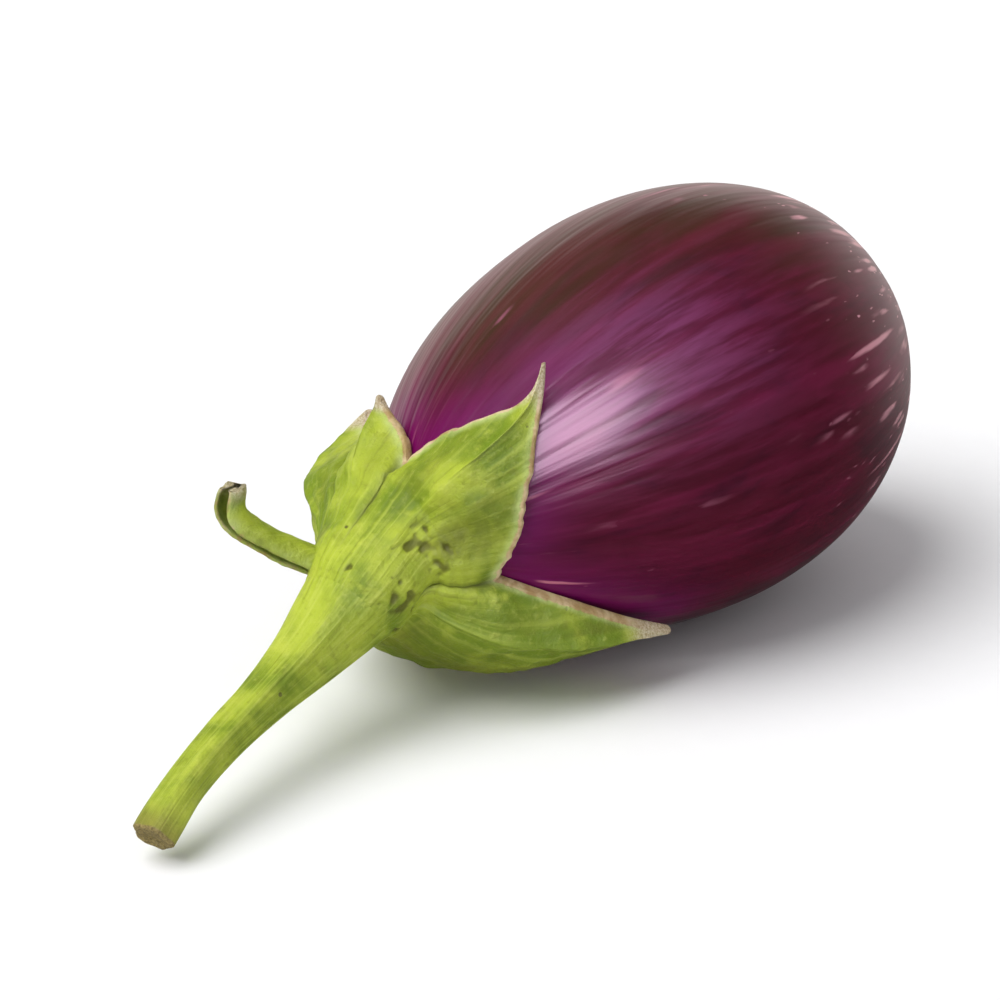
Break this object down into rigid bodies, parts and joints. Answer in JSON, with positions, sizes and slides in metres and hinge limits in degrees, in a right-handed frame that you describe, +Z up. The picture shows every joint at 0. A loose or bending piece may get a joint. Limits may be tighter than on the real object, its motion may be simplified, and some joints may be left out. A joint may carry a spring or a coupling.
{
  "type": "eggplant",
  "caption": "Small striped purple eggplant with a lobed green calyx and a curved cut stem, lying on its side.",
  "frame": {"origin": "centre of the small flat spot that the fruit rests on, at floor level", "axes": "+Z up, +X along the fruit towards its blossom end, so the cut stem points to -X"},
  "size_m": [0.1226, 0.0516, 0.0507],
  "materials": {
    "purple_skin": "smooth glossy plant skin, dark purple with pale dashes and a cream blossom end",
    "green_calyx": "matte leathery plant tissue, yellow green with pale dry edges",
    "green_stem": "matte ridged green stalk with a brown cut end"
  },
  "bodies": {
    "root": {"fruit": "purple_skin", "calyx": "green_calyx", "stem": "green_stem"}
  },
  "joints": []
}
